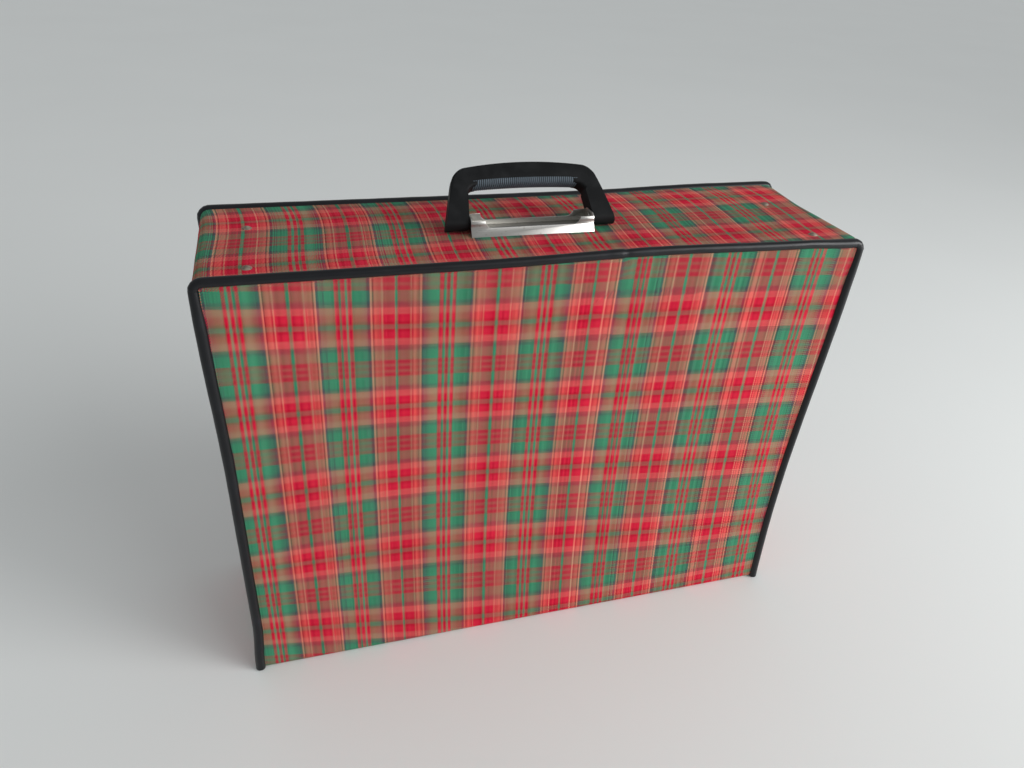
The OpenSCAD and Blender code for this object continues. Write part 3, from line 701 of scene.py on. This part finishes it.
plate_sheet = 1 * mm
bright_nickel = nickel("bright nickel", 0.26)
plate = edged("handle_plate", "pressed_handle_plate", 0.3 * mm, bright_nickel)
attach(plate, "case")
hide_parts("handle_plate")
plate_low, plate_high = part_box("handle_rivets")
rivet_places = [Matrix.Translation((x, (plate_low.y + plate_high.y) / 2, case_top + plate_sheet))
                for x in (plate_low.x + rivet_head / 2, plate_high.x - rivet_head / 2)]
plate_rivets = riveted("domed_plate_rivets", rivet_stack + plate_sheet, rivet_places, bright_nickel)
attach(plate_rivets, "case")
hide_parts("handle_rivets")


# Handle
# Moulded black plastic: two tapering legs with round feet, round shoulders and a crowned grip. Fine ribs run
# round its finger side. It turns on two plated pins pressed into the legs, and stands leaning halfway back.
handle_half, leg_inner, handle_height, grip_thickness = 74 * mm, 54.5 * mm, 50 * mm, 19 * mm
half_depth, crown_radius, under_radius = 7 * mm, 330 * mm, 700 * mm
outer_lean, inner_lean, outer_shoulder, inner_shoulder = 14, 6, 9.5 * mm, 7 * mm
foot_round, grip_round, edge_round = 6.3 * mm, 5 * mm, 2.4 * mm
rib_pitch, rib_width, ribs_each_way = 1.8 * mm, 1.1 * mm, 25
underside, foot_low, leaning = handle_height - grip_thickness, -half_depth, math.radians(-45)
pivot = Vector(next(joint["pos_m"] for joint in frame["joints"] if joint["name"] == "handle_fold"))


def shoulder(foot, lean, top, radius):
    """Where a leaning side of the handle would meet the curve over it, if the corner were sharp."""
    z = top
    for _ in range(8):
        x = foot - (z - foot_low) * math.tan(math.radians(lean))
        z = top - x * x / (2 * radius)
    return x, z


def black_plastic(name, colour_low, colour_high, shine):
    finish, tree, shader = new_finish(name)
    body = put(tree, "TexCoord")["Object"]
    pebble = put(tree, "TexVoronoi", (body, None, 1900.0), feature="SMOOTH_F1")[0]
    dust = put(tree, "TexNoise", (body, None, 75.0, 5.0))[0]
    colour = tinted(tree, spread(tree, dust, 0.45, 0.75, 0, 1), colour_low, colour_high)
    tree.links.new(colour, shader.inputs["Base Color"])
    tree.links.new(spread(tree, dust, 0.3, 0.7, shine, shine + 0.16), shader.inputs["Roughness"])
    shader.inputs["Specular IOR Level"].default_value = 0.1
    roughen(tree, shader, pebble, 0.3, 0.1 * mm)
    return finish


def crowned(x, half, radius):
    """Height of a flat arch over its ends."""
    return (half * half - x * x) / (2 * radius) if abs(x) < half else 0


def thickened(bm, faces, way):
    """Pulls flat faces out into a solid."""
    made = bmesh.ops.extrude_face_region(bm, geom=faces)["geom"]
    far_side = [g for g in made if isinstance(g, bmesh.types.BMVert)]
    bmesh.ops.translate(bm, verts=far_side, vec=way)


def at_level(edge, level):
    return all(abs(v.co.z - level) < 0.01 * mm for v in edge.verts)


def rim_edges(bm, chosen):
    """Sharp edges round the handle's two flat sides, where both ends of the edge are chosen."""
    return [e for e in bm.edges if abs(e.verts[0].co.y - e.verts[1].co.y) < 0.01 * mm
            and e.calc_face_angle(0) > math.radians(60) and all(chosen(v.co) for v in e.verts)]


bm = bmesh.new()
outer_x, outer_z = shoulder(handle_half, outer_lean, handle_height, crown_radius)
inner_x, inner_z = shoulder(leg_inner, inner_lean, underside, under_radius)
corners = [(-handle_half, foot_low), (-outer_x, outer_z), (outer_x, outer_z), (handle_half, foot_low),
           (leg_inner, foot_low), (inner_x, inner_z), (-inner_x, inner_z), (-leg_inner, foot_low)]
ring = [bm.verts.new((x, -half_depth, z)) for x, z in corners]
bm.faces.new(ring)
rounded_over(bm, ring[1:3], outer_shoulder, 8, "VERTICES")
inner_corners = [v for v in bm.verts if abs(v.co.z - inner_z) < 0.01 * mm]
rounded_over(bm, inner_corners, inner_shoulder, 6, "VERTICES")
for level in (outer_z, inner_z):
    long_edge = max((e for e in bm.edges if at_level(e, level)), key=lambda e: e.calc_length())
    bmesh.ops.subdivide_edges(bm, edges=[long_edge], cuts=27)
for v in bm.verts:
    if v.co.z > underside:
        v.co.z += crowned(v.co.x, outer_x, crown_radius)
    elif v.co.z > 0:
        v.co.z += crowned(v.co.x, inner_x, under_radius)
thickened(bm, bm.faces[:], (0, 2 * half_depth, 0))
bmesh.ops.recalc_face_normals(bm, faces=bm.faces)
feet = rim_edges(bm, lambda p: abs(p.z - foot_low) < 0.01 * mm)
grip_edges = rim_edges(bm, lambda p: 0 < underside - p.z < 4 * mm and abs(p.x) < inner_x - 6 * mm or
                       abs(p.z - underside) < 0.2 * mm)
rounded_over(bm, feet, foot_round, 6)
rounded_over(bm, grip_edges, grip_round, 3)
rounded_over(bm, rim_edges(bm, lambda p: p.z > 0), edge_round, 3)
bmesh.ops.dissolve_degenerate(bm, dist=0.02 * mm, edges=bm.edges)
for face in bm.faces:
    face.tag = True
half_outline = [(2.4, -0.42), (4.6, 0), (6.3, 1.3), (7.1, 3.4), (6.8, 4.2), (4, 3)]
outline = half_outline + [(-y, h) for y, h in reversed(half_outline)]
for i in range(-ribs_each_way, ribs_each_way + 1):
    x = i * rib_pitch
    low = underside - x * x / (2 * under_radius)
    rib = bm.faces.new([bm.verts.new((x - rib_width / 2, y * mm, low + h * mm)) for y, h in outline])
    thickened(bm, [rib], (rib_width, 0, 0))
for face in bm.faces:
    face.material_index = 0 if face.tag else 1
bmesh.ops.recalc_face_normals(bm, faces=bm.faces)
standing = Matrix.Translation(pivot) @ Matrix.Rotation(leaning, 4, "X")
bmesh.ops.transform(bm, matrix=standing, verts=bm.verts)
smooth_plastic = black_plastic("black handle plastic", seen(23, 24, 25), seen(34, 35, 36), 0.5)
# The ribs are the same black plastic; their lighter blue-grey colour is painted light on the rib strip,
# which faces down into shade.
ribs_plastic_painted_lit = black_plastic("ribbed handle plastic with painted light", seen(92, 102, 110), seen(106, 117, 126), 0.4)
handle = shaped("moulded_handle", bm, smooth_plastic, ribs_plastic_painted_lit, smooth_under=35)
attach(handle, "handle")
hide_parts("handle_grip")
refinish(bright_nickel, "handle_pins")


# Lid cloth and its fold
# The lid's board is covered with tartan that is turned over its three free edges. Along the bottom edge the
# cloth runs on into the bottom cloth, and that bare fold, without any board in it, is the hinge.
lid_low, lid_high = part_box("lid_cover")
lid_half, lid_top, lid_base, lid_face = lid_high.x, lid_high.z, lid_low.z, lid_high.y
lid_corner, turned_over = 13.5 * mm, 3.2 * mm


def lay_lid(across, down):
    x, z = rounded(across, lid_top - down, lid_half, lid_top, lid_corner)
    still = eased(lid_half - abs(x), 0, 50 * mm) * eased(lid_top - z, 0, 50 * mm) * eased(z, 0, 50 * mm)
    waves = 0.6 * mm * math.sin(x * 29 + z * 8) * math.sin(z * 33 - x * 7)
    return Vector((x, lid_face + waves * still, z))


def lid_check(across, down):
    return across + 1.5 * mm * math.sin(down * 23), down + 12 * mm + 3 * mm * math.sin(across * 17)


lid_cloth = cut_cloth("lid_cloth", (2 * lid_half, lid_top - lid_base), (90, 72), lay_lid, lid_check,
                      cloth_thickness, tartan_cloth)
bm = bmesh.new()
bm.from_mesh(lid_cloth.data)
weave = bm.loops.layers.uv["weave"]
edge = [e for e in bm.edges if e.is_boundary and any(v.co.z > lid_base + 0.1 * mm for v in e.verts)]
for e in edge:
    e.smooth = True
made = bmesh.ops.extrude_edge_only(bm, edges=edge)["geom"]
turned = [g for g in made if isinstance(g, bmesh.types.BMVert)]
bmesh.ops.translate(bm, verts=turned, vec=(0, -turned_over, 0))
for face in (g for g in made if isinstance(g, bmesh.types.BMFace)):
    face.smooth = True
    for loop in face.loops:
        loop[weave].uv = lid_check(loop.vert.co.x, lid_top - loop.vert.co.z)
lip = [e for e in edge if len(e.link_faces) == 2]
rounded_over(bm, lip, 0.7 * mm, 3)
bm.to_mesh(lid_cloth.data)
bm.free()
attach(lid_cloth, "lid")
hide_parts("lid_cover")

fold_turn, fold_thickness = 0.6 * mm, 0.7 * mm


def lay_fold(across, over):
    level, bend = lid_face - fold_turn - bottom_rear, fold_turn * math.pi / 2
    if over <= level:
        return Vector((across, bottom_rear + over, 0))
    if over <= level + bend:
        turn = (over - level) / fold_turn
        y, z = lid_face - fold_turn * (1 - math.sin(turn)), fold_turn * (1 - math.cos(turn))
        return Vector((across, y, z))
    return Vector((across, lid_face, fold_turn + over - level - bend))


def fold_check(across, over):
    return lid_check(across, lid_top - over)


fold_length = lid_face - bottom_rear - fold_turn + fold_turn * math.pi / 2 + lid_base - fold_turn
hinge_fold = cut_cloth("hinge_fold_cloth", (2 * lid_half, fold_length), (60, 10), lay_fold, fold_check,
                       fold_thickness, tartan_cloth)
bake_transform(hinge_fold)


# Zip
# A coil zip runs up both sides of the lid and across its top. Each half is a wound nylon coil sewn along a
# woven tape: the outer tape is caught behind the rear rim, the inner one is glued under the edge of the lid.
rim_low, rim_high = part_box("zip_tape_case")
coil_low, coil_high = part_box("zip_coil_case")
lid_coil_low, lid_coil_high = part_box("zip_coil_lid")
lid_tape_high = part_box("zip_tape_lid")[1]
coil_width, zip_corner = 3 * mm, 20 * mm
zip_half = (coil_high.x - coil_width + lid_coil_high.x) / 2
zip_top = (coil_high.z - coil_width + lid_coil_high.z) / 2
coil_shift = coil_high.x - coil_width / 2 - zip_half
bend_x, bend_z = zip_half - zip_corner, zip_top - zip_corner
tape_back, tape_face = rim_low.y, rim_high.y
tape_edge = zip_half - lid_tape_high.x


def coil_nylon(name):
    finish, tree, shader = new_finish(name)
    body = put(tree, "TexCoord")["Object"]
    dull = put(tree, "TexNoise", (body, None, 180.0, 4.0))[0]
    tree.links.new(tinted(tree, spread(tree, dull, 0.4, 0.7, 0, 1), seen(40, 42, 47), seen(66, 68, 72)),
                   shader.inputs["Base Color"])
    tree.links.new(spread(tree, dull, 0.3, 0.7, 0.28, 0.45), shader.inputs["Roughness"])
    roughen(tree, shader, dull, 0.2, 0.1 * mm)
    return finish


def wound(name, shift, start, finish):
    """One half of the coil: one turn, set side by side up the zip, round the corner, across and down."""
    pitch, half, top, corner = 1.9 * mm, zip_half + shift, zip_top + shift, zip_corner + shift
    strand, turn_radius, flattening, slant = 0.42 * mm, 1 * mm, (1.06, 0.76, 1), 0.35
    middle = (tape_face + coil_high.y) / 2
    bm = bmesh.new()
    section = bmesh.ops.create_circle(bm, segments=5, radius=strand)["verts"]
    bmesh.ops.rotate(bm, verts=section, cent=(0, 0, 0), matrix=Matrix.Rotation(math.pi / 2, 3, "Y"))
    bmesh.ops.translate(bm, verts=section, vec=(0, turn_radius, 0))
    bmesh.ops.rotate(bm, verts=section, cent=(0, 0, 0), matrix=Matrix.Rotation(math.pi / 2, 3, "Z"))
    bmesh.ops.spin(bm, geom=bm.verts[:] + bm.edges[:], cent=(0, 0, 0), axis=(0, 0, 1), angle=2 * math.pi,
                   steps=8, use_merge=True)
    bmesh.ops.remove_doubles(bm, verts=bm.verts, dist=0.001 * mm)
    bmesh.ops.scale(bm, verts=bm.verts, vec=flattening)
    for v in bm.verts:
        v.co.z += slant * v.co.x
    bmesh.ops.recalc_face_normals(bm, faces=bm.faces)
    bmesh.ops.translate(bm, verts=bm.verts, vec=(-half, middle, start + pitch / 2))
    turn = bm.verts[:] + bm.edges[:] + bm.faces[:]

    def row(geom, way, count):
        return bmesh.ops.spin(bm, geom=geom, cent=(0, 0, 0), axis=(0, 0, 1), angle=0,
                              dvec=Vector(way) * pitch, steps=count, use_duplicate=True)["geom_last"]

    def bend(geom, x):
        steps = round(corner * math.pi / 2 / pitch)
        return bmesh.ops.spin(bm, geom=geom, cent=(x, middle, top - corner), axis=(0, 1, 0),
                              angle=math.pi / 2, steps=steps, use_duplicate=True)["geom_last"]

    up, across = int((bend_z - start) / pitch), int(2 * bend_x / pitch)
    turn = bend(row(turn, (0, 0, 1), up), corner - half)
    turn = bend(row(turn, (1, 0, 0), across), half - corner)
    row(turn, (0, 0, -1), up)
    return shaped(name, bm, finish, smooth_under=80)


rim_corner = case_corner - (case_half - rim_high.x)
rim_bend_x, rim_bend_z = rim_high.x - rim_corner, rim_high.z - rim_corner
rim_turn, lid_turn = zip_corner + tape_edge, zip_corner - tape_edge
rim_width = rim_high.x - zip_half - tape_edge
rim_tail = lid_half + 0.4 * mm


def lay_rim_tape(along, over):
    """Along the zip from the left foot to the right one, and over from the zip's inner edge to the rim."""
    bend = rim_turn * math.pi / 2
    rest = abs(along)
    points = []
    for x, z, radius in ((bend_x, bend_z, rim_turn), (rim_bend_x, rim_bend_z, rim_corner)):
        if rest <= bend_x:
            points.append(Vector((rest / bend_x * x, z + radius)))
        elif rest <= bend_x + bend:
            turn = (rest - bend_x) / rim_turn
            points.append(Vector((x + radius * math.sin(turn), z + radius * math.cos(turn))))
        else:
            gone = (rest - bend_x - bend) / (bend_z - rim_low.z)
            points.append(Vector((x + radius, z - gone * (z - rim_low.z))))
    inner, outer = points
    if inner.y < coil_low.z:
        inner.x = rim_tail
    x, z = inner.lerp(outer, over / rim_width)
    return Vector((math.copysign(x, along), tape_face, z))


def lay_lid_tape(along, over):
    bend = lid_turn * math.pi / 2
    rest = abs(along)
    if rest <= bend_x:
        x, z = rest, bend_z + lid_turn - over
    elif rest <= bend_x + bend:
        turn = (rest - bend_x) / lid_turn
        x, z = bend_x + (lid_turn - over) * math.sin(turn), bend_z + (lid_turn - over) * math.cos(turn)
    else:
        x, z = bend_x + lid_turn - over, bend_z - (rest - bend_x - bend)
    return Vector((math.copysign(x, along), tape_face, z))


zip_weave = plain_weave("woven zip tape", seen(52, 53, 57), seen(30, 31, 34), 0.7 * mm, 0.75)
nylon = coil_nylon("wound coil nylon")
rim_run = 2 * (bend_z - rim_low.z + bend_x) + rim_turn * math.pi
lid_run = 2 * (bend_z - lid_coil_low.z + bend_x) + lid_turn * math.pi
lid_tape_width = lid_tape_high.x - inner_lid[1].x - seam_gap
foot_gain = (zip_half + tape_edge - rim_tail) * 2 * coil_low.z / rim_run
corner_gain = 0.9 * mm
rim_mean_width = rim_width + foot_gain + corner_gain
for name, body, node, run, width, mean_width, lay, held_by in (
        ("rim_zip_tape", "case", "zip_tape_case", rim_run, rim_width, rim_mean_width, lay_rim_tape,
         "top_board"),
        ("lid_zip_tape", "lid", "zip_tape_lid", lid_run, lid_tape_width, lid_tape_width, lay_lid_tape,
         "lid_board")):
    tape = cut_cloth(name, (run, width), (430, 6), lay, laid_flat, tape_face - tape_back, zip_weave)
    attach(tape, body)
    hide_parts(node)
for name, body, node, shift, start in (("rim_zip_coil", "case", "zip_coil_case", coil_shift, coil_low.z),
                                       ("lid_zip_coil", "lid", "zip_coil_lid", -coil_shift, lid_coil_low.z)):
    coil = wound(name, shift, start, nylon)
    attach(coil, body)
    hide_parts(node)


# Zip sliders, pulls and stops
# Die-cast sliders with a pressed pull on each, and a clamped metal stop under the lower end of the zip.
# They are cast and stamped, tumbled to take off the edges, and plated a plain grey.
cast_zinc = steel("plated casting", seen(178, 178, 176), seen(150, 150, 150), 0.26, 700.0)
for side in ("left", "right"):
    for name, node, body in (("cast_slider_", "zip_slider_", "slider_"),
                             ("stamped_pull_", "pull_tab_", "pull_")):
        fitting = edged(node + side, name + side, 0.18 * mm, cast_zinc)
        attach(fitting, body + side)
        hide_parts(node + side)
refinish(cast_zinc, "zip_stops")


# Floor, light and camera
# A plain pale table top under an even room light, with broad soft window light from the front right and a
# weak lamp beside it, seen from the front left and from above, as the photograph was taken.
table_reach, table_drop = 30, 0.3 * mm
bm = bmesh.new()
bmesh.ops.create_grid(bm, x_segments=1, y_segments=1, size=table_reach)
bmesh.ops.translate(bm, verts=bm.verts, vec=(0, 0, -table_drop))
pale, tree, shader = new_finish("pale table top")
haze = put(tree, "TexNoise", (put(tree, "TexCoord")["Object"], None, 2.0, 2.0))[0]
tree.links.new(tinted(tree, haze, seen(231, 233, 231), seen(235, 237, 235)), shader.inputs["Base Color"])
shader.inputs["Roughness"].default_value = 0.55
shader.inputs["Specular IOR Level"].default_value = 0.3
floor = shaped("table_top", bm, pale)

room = bpy.data.worlds.new("even room light")
bpy.context.scene.world = room
room.use_nodes = True
room.node_tree.nodes["Background"].inputs[0].default_value = (0.95, 0.98, 1.0, 1)
room.node_tree.nodes["Background"].inputs[1].default_value = 0.44


def aimed(lamp, place):
    holder = bpy.data.objects.new(lamp.name, lamp)
    holder.location = place
    holder.rotation_euler = (-Vector(place)).to_track_quat("-Z", "Y").to_euler()
    bpy.context.scene.collection.objects.link(holder)


window = bpy.data.lights.new("window light from the front right", "SUN")
window.energy, window.angle, window.color = 0.95, math.radians(45), (0.98, 0.99, 1)
aimed(window, (1.9, -1.7, 1.25))
side_light = bpy.data.lights.new("weak light from the right", "AREA")
side_light.shape, side_light.size, side_light.energy = "DISK", 1.4, 34
aimed(side_light, (1.9, -1.2, 0.9))

camera_lens = bpy.data.cameras.new("camera")
picture_width, lens_length, sensor_width = 1024, 774.4, 36  # the first two in pixels of the photograph
camera_lens.sensor_width, camera_lens.lens = sensor_width, sensor_width * lens_length / picture_width
camera = bpy.data.objects.new("camera", camera_lens)
bpy.context.scene.collection.objects.link(camera)
tilt, roll, turn = math.radians(57.825), math.radians(-3.199), math.radians(-16.01)
camera.matrix_world = Matrix.Translation(standpoint) @ Euler((tilt, roll, turn)).to_matrix().to_4x4()
camera_lens.clip_start, camera_lens.clip_end = 0.01, 50
bpy.context.scene.camera = camera
bpy.context.scene.view_settings.view_transform = "Standard"
